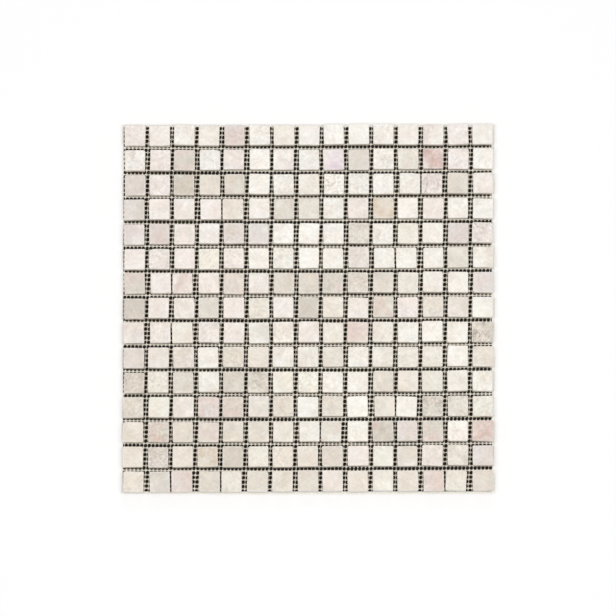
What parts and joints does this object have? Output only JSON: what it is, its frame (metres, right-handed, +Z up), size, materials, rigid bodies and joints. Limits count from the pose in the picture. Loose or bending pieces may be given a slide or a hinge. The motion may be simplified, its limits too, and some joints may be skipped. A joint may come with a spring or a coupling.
{
  "type": "mosaic tile sheet",
  "caption": "Square sheet of small tumbled marble tiles, laid in a grid with open joints on a glass-fibre backing net.",
  "frame": {"origin": "middle of the underside of the backing net, on the surface that the sheet lies on", "axes": "+Z up out of the tile faces, +Y towards tile row 1 (the top row in the picture), +X along the rows from tile 1 to tile 15"},
  "size_m": [0.3048, 0.3048, 0.0104],
  "materials": {
    "marble": "matte",
    "mesh": "satin"
  },
  "bodies": {
    "root": {"mesh_warp": "mesh", "mesh_weft": "mesh", "tile_row_01": "marble", "tile_row_02": "marble", "tile_row_03": "marble", "tile_row_04": "marble", "tile_row_05": "marble", "tile_row_06": "marble", "tile_row_07": "marble", "tile_row_08": "marble", "tile_row_09": "marble", "tile_row_10": "marble", "tile_row_11": "marble", "tile_row_12": "marble", "tile_row_13": "marble", "tile_row_14": "marble", "tile_row_15": "marble"}
  },
  "joints": []
}
